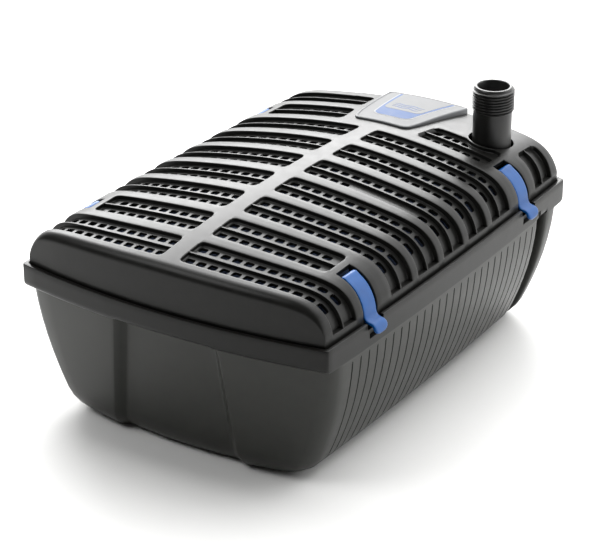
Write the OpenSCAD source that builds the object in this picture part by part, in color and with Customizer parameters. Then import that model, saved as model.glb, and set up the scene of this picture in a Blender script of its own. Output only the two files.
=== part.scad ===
// Box-shaped submersible pond filter: a slotted lid clipped on a tub, with foams, bio balls,
// a canned-rotor pump, an ultraviolet clarifier and a threaded outlet stub inside.
// Millimetres. Origin at the bottom centre, +X to the right, +Y to the rear, +Z up.

/* [Tub] */
// Width of the rim between its corners
rim_w = 260.6; // [258:0.2:263]
// Length of the rim between its corners
rim_l = 352.2; // [350:0.2:354]
// Height of the rim above the ground
rim_z = 118; // [117:0.5:119]
// How far the long sides bow outwards
side_bow = 3.4; // [3:0.1:4]
// How far the front bows outwards
front_bow = 13.4; // [13:0.1:14]
// How far the rear bows outwards
rear_bow = 23; // [22:0.1:24]
// Height of the flange band around the rim
band_h = 18; // [17:0.5:19]
// Wall thickness of the mouldings
wall = 3; // [2.8:0.1:3.2]
// Vertical grooves on each side panel
groove_count = 26; // [10:1:26]

/* [Lid] */
// Height of the lid's crest above the rim
crest = 46.3; // [46:0.1:46.5]
// How much the lid's crest line falls from its middle to its ends
crown_drop = 10.7; // [10.5:0.1:11]
// Slot bays on each side of the spine
bay_count = 9; // [9:1:9]
// Distance from one slot bay to the next
bay_pitch = 37; // [37:0.5:37]
// Width of a slot bay
bay_w = 28.2; // [27.6:0.2:28.4]
// Width of the plain spine between the left and right bays
spine_w = 17.2; // [16:0.2:18]
// Depth of a slot bay on top
bay_depth = 2.9; // [2.5:0.1:3.5]
// Depth of a slot bay at the lid's sides
bay_side_depth = 4; // [3.5:0.5:4]

/* [Clips] */
// Width of a clip's strap
strap_w = 16; // [15:0.5:16]
// Centre of the front clips
clip_front_y = -121.5; // [-122:0.5:-121]
// Centre of the rear clips
clip_rear_y = 106.5; // [106:0.5:107]
// Radius of a clip's hinge pin
clip_pin_r = 1.5; // [1.4:0.1:1.6]

/* [Outlet] */
// Outlet's distance to the right of centre
outlet_x = 81.5; // [81:0.5:82]
// Outlet's distance behind the centre
outlet_y = 139.5; // [139:0.5:140]
// Height of the outlet stub's top above the ground
outlet_top = 196.4; // [195:0.2:198]
// Crest radius of the outlet's thread, a one inch pipe thread
thread_r = 16.62; // [16.62:0.01:16.62]
// Pitch of the outlet's thread
thread_pitch = 2.309; // [2.309:0.001:2.309]
// Radius of the outlet's bore
outlet_bore_r = 12; // [11.5:0.1:12.2]

/* [Pump] */
// Height of the rotor's axis
pump_z = 50; // [48:0.5:52]
// Outer radius of the motor housing
motor_r = 29; // [28:0.5:30]
// Radius of the rotor shaft
shaft_r = 2.5; // [2.4:0.1:2.6]

/* [Hidden] */
$fn = 48;

shift_y = (front_bow - rear_bow) / 2; // puts the origin at the middle of the overall length
half_w = rim_w / 2;
half_l = rim_l / 2;
band_z = rim_z - band_h;

// A closed ring at one height: corner arcs of radius r joined by bowed sides, pulled in by
// "side" on the long sides and by "end" on the front and rear.
corner_steps = 4;
side_steps = [-0.7, -0.35, 0, 0.35, 0.7];
function bow(t, b) = b * (1 - t * t);
function ring(side, end, r, z) = let (w = half_w - side, l = half_l - end, kx = 1 - r / w, ky = 1 - r / l)
    [for (q = [0:3]) let (sx = [1, 1, -1, -1][q], sy = [-1, 1, 1, -1][q], b = sy < 0 ? front_bow : rear_bow)
        each concat(
            [for (i = [0:corner_steps]) let (a = 90 * (q - 1 + i / corner_steps))
                [sx * (w - r + bow(ky, side_bow)) + r * cos(a), shift_y + sy * (l - r + bow(kx,
                    b)) + r * sin(a), z]],
            [for (s = side_steps) let (t = q == 0 || q == 3 ? s : -s) q % 2 == 0
                ? [sx * (w + bow(t * ky, side_bow)), shift_y + t * l * ky, z]
                : [t * w * kx, shift_y + (q == 1 ? l + bow(t * kx, rear_bow) : -l - bow(t * kx,
                    front_bow)), z]])];
function rim_half(y) = half_w + bow((y - shift_y) / half_l, side_bow);
function flat(pts) = [for (p = pts) [p[0], p[1]]];

module slab(side, end, r, z0, z1) {
    translate([0, 0, z0]) linear_extrude(z1 - z0) polygon(flat(ring(side, end, r, 0)));
}

module rounded(r) {
    offset(r = r) offset(r = -r) children();
}

// A solid through a stack of rings that all have the same number of points.
module loft(rings) {
    n = len(rings[0]);
    m = len(rings);
    polyhedron(
        points = [for (r = rings) for (p = r) p],
        faces = concat(
            [[for (j = [0:n - 1]) j]],
            [[for (j = [n - 1:-1:0]) (m - 1) * n + j]],
            [for (i = [0:m - 2]) for (j = [0:n - 1]) [i * n + j, (i + 1) * n + (j + 1) % n,
                i * n + (j + 1) % n]],
            [for (i = [0:m - 2]) for (j = [0:n - 1]) [i * n + j, (i + 1) * n + j,
                (i + 1) * n + (j + 1) % n]]));
}

// Extrudes an x-z outline along y, centred on y.
module along_y(y, length) {
    translate([0, y + length / 2, 0]) rotate([90, 0, 0]) linear_extrude(length) children();
}

module tube(r_out, r_in, h) {
    difference() {
        cylinder(r = r_out, h = h);
        translate([0, 0, -1]) cylinder(r = r_in, h = h + 2);
    }
}

// Lays children that stand on +Z along +X at a point.
module along_x(x, y, z) {
    translate([x, y, z]) rotate([0, 90, 0]) children();
}

// ---- Tub ----
side_curve = 29;
side_power = 1.8;
end_slope = 9;
end_setback = 6;
bottom_r = 18;
pod_corner_r = 13;
rim_lip = 3.2;
rim_corner_r = 4;
shelf_z = rim_z - 6;
shelf_t = 4;
tub_levels = [0, 2, 6, 12, 18, 40, 70, band_z];
function below(z) = max(1 - z / band_z, 0);
function bottom_round(z) = z < bottom_r ? bottom_r - sqrt(pow(bottom_r, 2) - pow(bottom_r - z, 2)) : 0;
function side_inset(z) = side_curve * pow(below(z), side_power) + bottom_round(z);
function end_inset(z) = end_setback + end_slope * below(z) + 0.7 * bottom_round(z);

module tub_outside() {
    loft([for (z = tub_levels) ring(side_inset(z), end_inset(z), pod_corner_r, z)]);
}

module tub_inside() {
    loft([for (z = tub_levels) let (up = wall + z * (band_z + 1 - wall) / band_z)
        ring(side_inset(z) + wall, end_inset(z) + wall, pod_corner_r - wall, up)]);
}

// The recessed panel between the two pods of an end, deeper and narrower at its top.
module end_recess(sy, grow) {
    function section(z, half, depth) = let (
        face = half_l - end_inset(max(z, 0)) + (sy < 0 ? front_bow : rear_bow) * 0.86,
        y_in = face - depth - grow, y_out = y_in + 30)
        [for (p = [[-half - 30, y_out], [half + 30, y_out], [half, y_in], [-half, y_in]]) [p[0],
            shift_y + sy * p[1], z]];
    function turned(s) = sy < 0 ? s : [for (i = [3:-1:0]) s[i]];
    loft([turned(section(-1, 49 + grow, 5)), turned(section(band_z, 38 + grow, 8))]);
}

// An x-z strip that follows the side wall from the outside to a depth inside it.
function side_strip(depth, z0, z1, half) = let (n = 6) concat(
    [for (i = [0:n]) let (z = z0 + (z1 - z0) * i / n) [half - side_inset(max(z, 0)) - depth, z]],
    [[half + 10, z1], [half + 10, z0]]);

channel_y = [130.5, 140];
module side_channel(grow) {
    mid = (channel_y[0] + channel_y[1]) / 2;
    along_y(mid, channel_y[1] - channel_y[0] + 2 * grow)
        polygon(side_strip(11 + grow, -1, band_z - (grow > 0 ? -1 : 0), rim_half(mid)));
}

groove_front_y = -150;
groove_pitch = 10.65;
groove_w = 1.4;
groove_depth = 1.3;
module grooves() {
    for (i = [0:groove_count - 1]) {
        y = groove_front_y + i * groove_pitch;
        along_y(y, groove_w) polygon(side_strip(groove_depth, 6, band_z - 2.5, rim_half(y)));
    }
}

module both_sides() {
    children();
    mirror([1, 0, 0]) children();
}

clip_ys = [clip_front_y, clip_rear_y];
notch_w = strap_w + 4;
gland_x = -78;
gland_z = 84;
gland_r = 8;
gland_seat_y = 181;

module tub() color("#44443f") {
    difference() {
        union() {
            difference() {
                union() {
                    tub_outside();
                    slab(0, 0, rim_corner_r, band_z, rim_z);
                }
                difference() {
                    tub_inside();
                    for (sy = [-1, 1]) end_recess(sy, wall);
                    both_sides() side_channel(wall);
                }
                slab(wall + 0.1, end_setback + wall + 0.1, 10, band_z, shelf_z - shelf_t);
                slab(12, 15, 6, shelf_z - shelf_t - 1, shelf_z + 1);
                slab(rim_lip, rim_lip, 3, shelf_z, rim_z + 1);
                for (sy = [-1, 1]) end_recess(sy, 0);
                both_sides() side_channel(0);
                both_sides() grooves();
            }
            translate([gland_x, gland_seat_y, gland_z]) rotate([90, 0, 0]) cylinder(r = 15, h = 12);
        }
        translate([gland_x, gland_seat_y + 20, gland_z]) rotate([90, 0, 0]) cylinder(r = gland_r, h = 60);
        both_sides() for (y = clip_ys) translate([half_w - 2, y - notch_w / 2, shelf_z]) cube([20,
            notch_w, 20]);
    }
}

// ---- Lid ----
lid_gap = 4.2; // from the rim's outer edge to the lid's wall
lid_foot_z = shelf_z + 0.3;
ledge_h = 5.7; // the bays end on a ledge this far above the rim
crest_y = -12;
lid_half = half_w - lid_gap;
shoulder_n = 15.6;
shoulder_m = 1.39;
crown_n = 1.63;
function crest_t(y) = (y - crest_y) / half_l;
function crest_h(y) = crest - 0.4 * crest_t(y) - crown_drop * pow(crest_t(y), 2) + 1.6 * pow(crest_t(y), 3)
    - 0.00165 * pow(max(y - 119, 0), 2);
// How much lower the lid is beside its shoulder than along its spine.
function crown(y, u) = (18.4 + 1.6 * crest_t(y) - 10.5 * pow(crest_t(y), 2)) * pow(abs(u), crown_n);
function lid_a(y) = lid_half + bow((y - shift_y) / half_l, side_bow);
function shoulder(u) = pow(max(1 - pow(abs(u), shoulder_n), 0), 1 / shoulder_m);
function arch_h(y, u, top) = ledge_h + (crest_h(y) - crown(y, u) - top - ledge_h) * shoulder(u);
function lid_h(x, y) = arch_h(y, x / lid_a(y), 0);
function lid_z(x, y) = rim_z + lid_h(x, y);

arch_u = [-1, -0.995, -0.975, -0.94, -0.89, -0.8, -0.65, -0.4, 0, 0.4, 0.65, 0.8, 0.89, 0.94, 0.975,
    0.995, 1];
arch_y = [-205, -150, -100, -50, 0, 50, 100, 150, 205];

// The lid's arch as a solid, pulled in from its sides and from its top.
module arch(side, top, z0) {
    loft([for (y = arch_y) let (a = lid_a(y) - side) concat(
        [for (u = arch_u) [a * u, y, rim_z + arch_h(y, u, top)]],
        [[a, y, z0], [-a, y, z0]])]);
}

module lid_block(side, end, top, z0) {
    intersection() {
        arch(side, top, z0);
        slab(lid_gap + side - 1, lid_gap + end, 3, z0 - 1, 250);
    }
}

// A bay's edge furthest to the rear, at a distance x from the middle.
function bay_bow(i) = 10.1 - 2.06 * (i - 1) - 0.126 * pow(i - 1, 2);
function bay_far(i, x) = -139.8 + bay_pitch * (i - 1) - bay_bow(i) * (1 - pow(x / lid_half, 2));
function bay_start(i, right) = right && i == 9 ? 109.5 : right && i == 8 ? 36 : spine_w / 2;
function bay_end(i) = i == 2 || i == 8 ? 99 : 140;
rib_span = [14.2, 15.8]; // the rib along the middle of a bay, measured from the bay's far edge
bay_floor = 2;

module bay_band(i, x0, x1, low, high) {
    n = 6;
    xs = [for (k = [0:n]) x0 + (x1 - x0) * k / n];
    polygon(concat([for (x = xs) [x, bay_far(i, x) - low]], [for (k = [n:-1:0]) [xs[k], bay_far(i,
        xs[k]) - high]]));
}

label_y = [104.5, 190];
label_half = [25, 36.6];
module label_outline(grow, r) {
    rounded(r) polygon([[-label_half[0] - grow, label_y[0] - grow], [label_half[0] + grow,
        label_y[0] - grow],
        [label_half[1] + grow, label_y[1] + 9], [-label_half[1] - grow, label_y[1] + 9]]);
}

// Wide enough for the thread to pass when the lid lifts
outlet_hole = [outlet_x - 1.4, outlet_y + 1];
outlet_hole_r = 18.6;

// Plan outline of one bay, shortened where the label and the outlet stand in its way.
module bay_outline(i, right) {
    difference() {
        bay_band(i, bay_start(i, right), bay_end(i), bay_w, 0);
        mirror([right ? 0 : 1, 0, 0]) {
            label_outline(7, 12);
            if (right) translate(outlet_hole) circle(r = outlet_hole_r + 4.5);
        }
    }
}

module bay(i, right, grow) {
    mirror([right ? 0 : 1, 0, 0]) translate([0, 0, rim_z + ledge_h - (grow > 0 ? 3 : 0)]) linear_extrude(60)
        if (grow > 0) offset(delta = grow) bay_outline(i, right);
        else difference() {
            bay_outline(i, right);
            bay_band(i, 0, 150, rib_span[1], rib_span[0]);
        }
}

// Intake holes in the floor of a bay: a row in each half, in columns a fixed distance apart.
hole_x0 = 14.2;
hole_pitch = 9.35;
hole_size = [6.8, 5.8];
row_offset = [21.7, 5.9]; // of the two rows of holes, from the bay's far edge
hole_columns = 12;
function row_y(i, x, row) = bay_far(i, x) - row_offset[row];
function hole_ok(i, row, x, y, right) =
    x - 4.5 > bay_start(i, right) && x + 4.5 < bay_end(i) && !(right && i == 5 && row == 0
        && x > 47 && x < 104)
    && (y < label_y[0] - 14 || x > 47 + (y - label_y[0]) * 0.14)
    && !(right && norm([x, y] - outlet_hole) < outlet_hole_r + 11) && !(right && i == 9);

module bay_holes(i, right) {
    for (row = [0, 1]) for (k = [0:hole_columns - 1]) {
        x = hole_x0 + hole_pitch * k;
        y = row_y(i, x, row);
        if (hole_ok(i, row, x, y, right)) mirror([right ? 0 : 1, 0, 0])
            translate([x - hole_size[0] / 2, y - hole_size[1] / 2, rim_z]) cube([hole_size[0],
                hole_size[1], 60]);
    }
}

window = [105.3, 115];
window_w = strap_w + 1.6;
strap_in = 2.6;
channel_in = 3.1;
pin_x = 110.6;
barrel_r = 3.3;
function pin_z(y) = lid_z(pin_x, y) - barrel_r - 0.2;

module clip_lugs(y) {
    difference() {
        intersection() {
            arch(1, 1, 100);
            for (s = [-1, 1]) translate([pin_x - 4, y + s * (window_w / 2 + 2) - 2,
                pin_z(y) - 4]) cube([8, 4, 6.5]);
        }
        translate([pin_x, y - 20, pin_z(y)]) rotate([-90, 0, 0]) cylinder(r = clip_pin_r, h = 40);
    }
}

module lid() color("#5b5b56") {
    difference() {
        union() {
            difference() {
                lid_block(0, 0, 0, lid_foot_z);
                lid_block(wall, wall, wall, lid_foot_z - 5);
            }
            difference() {
                intersection() {
                    lid_block(0.5, 0.5, 0.5, rim_z - 4);
                    union() {
                        for (i = [1:bay_count]) for (right = [false, true]) bay(i, right, 1.6);
                        both_sides() for (y = clip_ys)
                            translate([105, y - window_w / 2 - 2, shelf_z + 2]) cube([30,
                                window_w + 4, 60]);
                    }
                }
                lid_block(bay_side_depth + bay_floor, bay_depth + 3 * bay_floor,
                    bay_depth + bay_floor, lid_foot_z - 5);
            }
        }
        difference() {
            for (i = [1:bay_count]) for (right = [false, true]) bay(i, right, 0);
            arch(bay_side_depth, bay_depth, 90);
        }
        for (i = [1:bay_count]) for (right = [false, true]) bay_holes(i, right);
        both_sides() for (y = clip_ys) {
            translate([window[0], y - window_w / 2, rim_z]) cube([window[1] - window[0], window_w, 60]);
            difference() {
                translate([window[1] - 1, y - window_w / 2, shelf_z + 3]) cube([40, window_w, 60]);
                arch(channel_in, channel_in, 90);
            }
        }
        translate([outlet_hole[0], outlet_hole[1], rim_z]) cylinder(r = outlet_hole_r, h = 60);
    }
    both_sides() for (y = clip_ys) clip_lugs(y);
}

label_t = 1.6;
module label_plate() color("#d8dadb") {
    difference() {
        intersection() {
            arch(-label_t, -label_t, 130);
            translate([0, 0, 130]) linear_extrude(60) intersection() {
                label_outline(0, 8);
                polygon(flat(ring(lid_gap + 1, lid_gap + 1, 3, 0)));
            }
        }
        arch(0, 0, 100);
    }
}

module clip_pins() color("#b9bcbf") {
    both_sides() for (y = clip_ys)
        translate([pin_x, y - window_w / 2 - 4, pin_z(y)]) rotate([-90, 0,
            0]) cylinder(r = clip_pin_r, h = window_w + 8);
}

// ---- Clips: a barrel on the pin, a strap down the shoulder, a neck over the rim and a finger tab ----
neck_w = 12;
tab_w = 15;
module clip(y) {
    x_rim = rim_half(y);
    difference() {
        union() {
            difference() {
                intersection() {
                    arch(0.3, 0.3, rim_z + 0.5);
                    translate([pin_x, y - strap_w / 2, rim_z - 1]) cube([40, strap_w, 60]);
                }
                arch(strap_in, strap_in, 100);
            }
            translate([pin_x, y - strap_w / 2, pin_z(y)]) rotate([-90, 0, 0]) cylinder(r = barrel_r,
                h = strap_w);
            along_y(y, neck_w) polygon([[x_rim - lid_gap - 2.5, rim_z + 3], [x_rim - lid_gap - 0.3,
                rim_z + 3],
                [x_rim - lid_gap + 1.5, rim_z + 0.6], [x_rim + 1.5, rim_z - 0.4], [x_rim + 2.5, rim_z - 4],
                [x_rim + 0.6, rim_z - 3.4], [x_rim - lid_gap - 1, rim_z - 2.2]]);
            along_y(y, tab_w) polygon([[x_rim + 0.6, rim_z - 0.2], [x_rim + 2.2, rim_z - 0.6],
                [x_rim + 6.6, rim_z - 7.4],
                [x_rim + 6, rim_z - 9.4], [x_rim + 3.6, rim_z - 9], [x_rim + 0.6, rim_z - 5.4]]);
        }
        translate([pin_x, y - 20, pin_z(y)]) rotate([-90, 0, 0]) cylinder(r = clip_pin_r + 0.05, h = 40);
        translate([pin_x - 6, y - 20, pin_z(y) - 14]) cube([6 + barrel_r, 40, 14 - barrel_r - 0.2]);
    }
}

module clip_front_right() color("#1f62b4") clip(clip_front_y);
module clip_rear_right() color("#1f62b4") clip(clip_rear_y);
module clip_front_left() color("#1f62b4") mirror([1, 0, 0]) clip(clip_front_y);
module clip_rear_left() color("#1f62b4") mirror([1, 0, 0]) clip(clip_rear_y);

// ---- Filter media ----
partition_y = 26;
partition_t = 3;
chamber_front_y = -168;

module partition() color("#3c3c39") {
    difference() {
        along_y(partition_y, partition_t) polygon([[-86, 3.4], [86, 3.4], [98, 14], [119, 98], [-119,
            98], [-98, 14]]);
        for (x = [-72:16:72]) for (z = [22, 44]) translate([x - 2.5, partition_y - 5, z]) cube([5, 10, 14]);
    }
}

grid_t = 4;
grid_front_z = 82;
grid_rear_z = 99.5;
leg_z = 8;
// Each leg's place and radius; the last stands between the pump and the rear wall
rear_legs = [[-90, 90, 3.5], [-90, 148, 3.5], [90, 36, 3.5], [30, 154.3, 2.4]];
module lattice(w, l, pitch, bar) {
    nx = floor((w - bar) / pitch);
    ny = floor((l - bar) / pitch);
    cell_x = (w - bar) / nx;
    cell_y = (l - bar) / ny;
    difference() {
        square([w, l]);
        for (i = [0:nx - 1]) for (j = [0:ny - 1])
            translate([bar + i * cell_x, bar + j * cell_y]) square([cell_x - bar, cell_y - bar]);
    }
}

module support_grid_front() color("#383836") {
    translate([-105, chamber_front_y + 4, grid_front_z]) linear_extrude(grid_t) lattice(210, 186, 26, 4);
    for (x = [-90, 90]) for (y = [-146, 14]) translate([x, y, leg_z]) cylinder(r = 3.5,
        h = grid_front_z + 0.5 - leg_z);
}

module support_grid_rear() color("#383836") {
    translate([0, 0, grid_rear_z]) linear_extrude(grid_t) difference() {
        translate([-110, 30]) lattice(220, 136, 26, 4);
        translate([outlet_x, outlet_y]) circle(r = 25);
    }
    for (p = rear_legs) translate([p[0], p[1], leg_z]) cylinder(r = p[2], h = grid_rear_z + 0.5 - leg_z);
}

module foam_front() color("#1c3a66") {
    along_y(-74, 184) polygon([[-104, 86.3], [104, 86.3], [108, 118], [92, 135], [-92, 135], [-108, 118]]);
}

module foam_rear() color("#1c3a66") {
    difference() {
        along_y(95, 126) polygon([[-108, 103.8], [108, 103.8], [108, 118], [90, 133], [-90, 133],
            [-108, 118]]);
        translate([outlet_x, outlet_y, 90]) cylinder(r = 26, h = 60);
        translate([outlet_x, outlet_y - 26, 90]) cube([60, 70, 60]);
    }
}

module foam_fine() color("#7a2f5a") {
    translate([-84, -154, 5]) cube([168, 92, 74]);
}

ball_r = 13;
module bio_balls() color("#2d5fa0") {
    for (ix = [0:5]) for (iy = [0:2]) for (iz = [0:1])
        translate([-70 + ix * 28, -44 + iy * 27, 3.3 + ball_r + iz * 28]) difference() {
            sphere(r = ball_r);
            for (a = [0, 90]) rotate([0, a, 0]) tube(ball_r + 1, ball_r - 2.5, 2.4);
        }
}

// ---- Pump: the rotor's axis runs along x, the volute is at its right end below the outlet ----
pump_y = outlet_y - 19;
motor_x0 = -30;
motor_x1 = 62;
can_r = 13;
can_x0 = -12;
volute_r = 33;
volute_x1 = 96;
plate_t = 4;
impeller_x0 = motor_x1 + plate_t + 1;
impeller_t = 13;
screw_ring = 29.8;
chamber_r = 26;
eye_r = 9;
running = 0.05;

module pump_housing() color("#262626") {
    difference() {
        union() {
            along_x(motor_x0 + 4, pump_y, pump_z) cylinder(r = motor_r, h = motor_x1 - motor_x0 - 8);
            along_x(motor_x0, pump_y, pump_z) cylinder(r1 = motor_r - 4, r2 = motor_r, h = 4.01);
            along_x(motor_x1 - 5, pump_y, pump_z) cylinder(r = volute_r, h = 5);
            for (a = [0:45:315]) along_x(motor_x0 + 8, pump_y, pump_z)
                rotate([0, 0, a]) translate([motor_r - 1, -1.5, 0]) cube([3, 3, motor_x1 - motor_x0 - 14]);
        }
        along_x(can_x0, pump_y, pump_z) cylinder(r = can_r, h = 100);
        along_x(motor_x1 - plate_t / 2, pump_y, pump_z) cylinder(r = 25, h = 20);
        for (a = [45:90:315]) along_x(motor_x1 - 10, pump_y, pump_z)
            rotate([0, 0, a]) translate([screw_ring, 0, 0]) cylinder(r = 1.5, h = 20);
    }
}

module bearing_plate() color("#1d1d1d") {
    along_x(motor_x1 - plate_t / 2, pump_y, pump_z) difference() {
        tube(24.95, 4.5, plate_t);
        for (a = [0:60:300]) rotate([0, 0, a]) translate([17, 0, -1]) cylinder(r = 3, h = plate_t + 2);
    }
}

module bearing_front() color("#e8e6df") {
    along_x(motor_x1 - plate_t / 2 - 1, pump_y, pump_z) tube(4.5, shaft_r + running, plate_t + 2);
}

module bearing_rear() color("#e8e6df") {
    along_x(can_x0, pump_y, pump_z) tube(can_r, shaft_r + running, 6);
}

module rotor_shaft() color("#d5d5d2") {
    along_x(can_x0 + 0.5, pump_y, pump_z) cylinder(r = shaft_r, h = impeller_x0 + impeller_t - can_x0 + 3);
}

module rotor_magnet() color("#2b2b2e") {
    along_x(can_x0 + 8, pump_y, pump_z) tube(can_r - 0.8, shaft_r, motor_x1 - can_x0 - 14);
}

module impeller() color("#c9c9c4") {
    along_x(impeller_x0, pump_y, pump_z) difference() {
        union() {
            cylinder(r = 23, h = 2);
            cylinder(r = 6, h = impeller_t);
            for (a = [0:60:300]) rotate([0, 0, a]) translate([4, -1, 0]) cube([18, 2, impeller_t - 1]);
        }
        translate([0, 0, -1]) cylinder(r = shaft_r, h = impeller_t + 2);
    }
}

neck_z = 91;
collar_r = 17.4;
collar_h = 7;
neck_r = 15;
module pump_volute() color("#2c2c2b") {
    difference() {
        union() {
            along_x(motor_x1, pump_y, pump_z) cylinder(r = volute_r, h = volute_x1 - motor_x1);
            translate([outlet_x, outlet_y, pump_z]) cylinder(r = neck_r, h = neck_z - pump_z);
            translate([outlet_x, outlet_y, neck_z - collar_h]) cylinder(r = collar_r, h = collar_h);
        }
        along_x(motor_x1 - 1, pump_y, pump_z) cylinder(r = chamber_r, h = volute_x1 - motor_x1 - 2);
        along_x(motor_x1, pump_y, pump_z) cylinder(r = eye_r, h = 60);
        along_x(motor_x1 - 1, pump_y, pump_z) tube(chamber_r + 1.6, chamber_r + 0.3, 2.4);
        translate([outlet_x, outlet_y, pump_z]) cylinder(r = 10.4, h = 60);
        for (a = [45:90:315]) along_x(motor_x1 - 1, pump_y, pump_z)
            rotate([0, 0, a]) translate([screw_ring, 0, 0]) cylinder(r = 2.2, h = 6);
        for (a = [45:90:315]) along_x(motor_x1 + 5, pump_y, pump_z)
            rotate([0, 0, a]) translate([screw_ring, 0, 0]) cylinder(r = 4.2, h = 60);
    }
}

module volute_screws() color("#c0c0c0") {
    for (a = [45:90:315]) along_x(motor_x1 - 4, pump_y, pump_z) rotate([0, 0,
        a]) translate([screw_ring, 0, 0]) {
        cylinder(r = 1.5, h = 12);
        translate([0, 0, 9.02]) difference() {
            cylinder(r = 3.4, h = 3);
            translate([0, 0, 1.4]) cylinder(r = 1.6, h = 4, $fn = 6);
        }
    }
}

module volute_seal() color("#151515") {
    along_x(motor_x1 + 0.05, pump_y, pump_z) tube(chamber_r + 1.55, chamber_r + 0.35, 1.3);
}

module inlet_cage() color("#2c2c2b") {
    along_x(volute_x1 + 0.05, pump_y, pump_z) difference() {
        tube(12, eye_r, 6);
        for (a = [0:36:324]) rotate([0, 0, a]) translate([6, -1.6, 1.5]) cube([8, 3.2, 4.6]);
    }
    along_x(volute_x1 + 6.04, pump_y, pump_z) cylinder(r = 12, h = 1.6);
}

module pump_cradle() color("#3c3c39") {
    for (x = [-18, 40]) difference() {
        translate([x - 4, pump_y - 24, 5.4]) cube([8, 48, pump_z - 5.4 - 10]);
        along_x(x - 10, pump_y, pump_z) cylinder(r = motor_r + 2.1, h = 20);
    }
    translate([-24, pump_y - 24, 5.4]) cube([72, 48, 4]);
}

module cradle_pads() color("#141414") {
    for (x = [-18, 42]) for (y = [pump_y - 18, pump_y + 18]) translate([x, y, 3.05]) cylinder(r = 5,
        h = 2.35);
}

// ---- Outlet ----
stub_r = 15.15;
stub_z0 = neck_z + 2;
thread_len = 19;
thread_depth = 1.47;
thread_turns = 8;

module outlet_stub() color("#1f1f1f") {
    crest_w = thread_pitch * 0.45;
    root_w = thread_pitch * 0.2;
    thread_z0 = outlet_top - 1.4 - thread_turns * thread_pitch;
    translate([outlet_x, outlet_y, 0]) difference() {
        union() {
            translate([0, 0, stub_z0]) cylinder(r = stub_r, h = outlet_top - stub_z0);
            translate([0, 0, stub_z0]) cylinder(r = stub_r + 3, h = 4);
            for (i = [0:thread_turns - 1]) translate([0, 0, thread_z0 + i * thread_pitch]) rotate_extrude()
                polygon([[10, -root_w / 2], [stub_r, 0], [thread_r, thread_depth / 2], [thread_r,
                    thread_depth / 2 + crest_w],
                    [stub_r, thread_pitch - root_w / 2], [10, thread_pitch - root_w / 2]]);
        }
        translate([0, 0, stub_z0 - 1]) cylinder(r = outlet_bore_r, h = 140);
        translate([0, 0, outlet_top - 1]) cylinder(r1 = outlet_bore_r, r2 = outlet_bore_r + 1.2, h = 1.2);
    }
}

module outlet_gasket() color("#151515") {
    translate([outlet_x, outlet_y, neck_z]) tube(14.5, 10.6, 2);
}

module union_nut() color("#222222") {
    translate([outlet_x, outlet_y, neck_z - collar_h]) difference() {
        union() {
            cylinder(r = 21.5, h = 15.6);
            for (a = [0:30:330]) rotate([0, 0, a]) translate([20.5, -1.5, 2]) cube([2.4, 3, 11.6]);
        }
        translate([0, 0, -1]) cylinder(r = collar_r + 0.1, h = collar_h + 1.5);
        translate([0, 0, collar_h]) cylinder(r = stub_r + 3.2, h = 6.4);
        cylinder(r = stub_r + 0.4, h = 30);
    }
}

// ---- Ultraviolet clarifier: a tube along x in front of the pump ----
uvc_y = 56;
uvc_z = 54;
uvc_x0 = -96;
uvc_x1 = 48;
uvc_r = 23;

module uvc_housing() color("#242424") {
    difference() {
        along_x(uvc_x0, uvc_y, uvc_z) cylinder(r = uvc_r, h = uvc_x1 - uvc_x0);
        along_x(uvc_x0 + 3, uvc_y, uvc_z) cylinder(r = uvc_r - 2.5, h = 200);
        for (x = [-80:9:-40]) translate([x, uvc_y - 9, uvc_z]) cube([4, 18, 40]);
        for (x = [0:9:36]) translate([x - 4, uvc_y - 9, uvc_z - 40]) cube([4, 18, 40]);
    }
}

module uvc_saddles() color("#3c3c39") {
    for (x = [-60, 20]) difference() {
        translate([x - 4, uvc_y - 20, 3.1]) cube([8, 40, uvc_z - 3.1 - 8]);
        along_x(x - 10, uvc_y, uvc_z) cylinder(r = uvc_r + 0.05, h = 20);
    }
}

module quartz_sleeve() color([0.8, 0.9, 1, 0.35]) {
    along_x(uvc_x0 + 14, uvc_y, uvc_z) difference() {
        union() {
            translate([0, 0, 10]) cylinder(r = 11, h = uvc_x1 - uvc_x0 - 24);
            translate([0, 0, 11]) sphere(r = 11);
        }
        translate([0, 0, 11]) cylinder(r = 9.7, h = 200);
    }
}

module uvc_lamp() color("#e9eef2") {
    for (s = [-1, 1]) along_x(uvc_x0 + 32, uvc_y + s * 4.6, uvc_z) cylinder(r = 4,
        h = uvc_x1 - uvc_x0 - 38);
    along_x(uvc_x1 - 8, uvc_y, uvc_z) cylinder(r = 9.2, h = 8);
}

module lamp_socket() color("#eceae4") {
    along_x(uvc_x1 + 0.05, uvc_y, uvc_z) cylinder(r = 9.2, h = 18);
}

module uvc_seal() color("#151515") {
    along_x(uvc_x1 - 4, uvc_y, uvc_z) tube(uvc_r - 2.55, 11.05, 4);
}

module uvc_cap() color("#222222") {
    along_x(uvc_x1 - 6, uvc_y, uvc_z) difference() {
        union() {
            cylinder(r = 26.5, h = 28);
            for (a = [0:20:340]) rotate([0, 0, a]) translate([26, -1.5, 0]) cube([1.8, 3, 20]);
        }
        translate([0, 0, -1]) cylinder(r = uvc_r + 0.1, h = 7);
        translate([0, 0, 5]) cylinder(r = 9.4, h = 20);
    }
}

// ---- Cable gland in the rear wall ----
module cable_gland() color("#1b1b1b") {
    translate([gland_x, gland_seat_y, gland_z]) rotate([-90, 0, 0]) difference() {
        union() {
            translate([0, 0, 1.2]) cylinder(r = 11.5, h = 4, $fn = 6);
            translate([0, 0, 5.1]) cylinder(r1 = 9.5, r2 = 7.5, h = 6);
            translate([0, 0, -21]) cylinder(r = gland_r - 0.05, h = 22.3);
        }
        translate([0, 0, -30]) cylinder(r = 3.5, h = 60);
    }
}

module gland_seal() color("#151515") {
    translate([gland_x, gland_seat_y, gland_z]) rotate([-90, 0, 0]) tube(10.5, gland_r, 1.2);
}

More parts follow.
